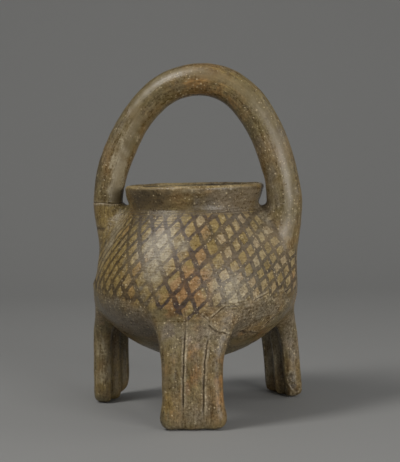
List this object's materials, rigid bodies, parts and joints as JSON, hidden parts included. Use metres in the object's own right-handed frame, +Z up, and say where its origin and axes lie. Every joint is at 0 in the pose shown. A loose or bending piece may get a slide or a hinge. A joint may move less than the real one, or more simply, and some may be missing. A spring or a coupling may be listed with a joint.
{
  "type": "tripod vase",
  "caption": "Hand-built clay vase: a round-bottomed bowl with a flaring collar on slab legs, with a thick round handle arching over its mouth.",
  "frame": {"origin": "on the floor under the vase, at the middle of its width and of its depth; the bowl's axis stands 3 mm behind it", "axes": "+Z up through the mouth, +X to the right as seen from the front, the leg with the plainest view of its grooves stands at the front, -Y"},
  "size_m": [0.1506, 0.1481, 0.2397],
  "materials": {
    "clay": "burnished olive-brown earthenware with a worn painted lattice"
  },
  "bodies": {
    "root": {"tripod_vase": "clay"}
  },
  "joints": []
}
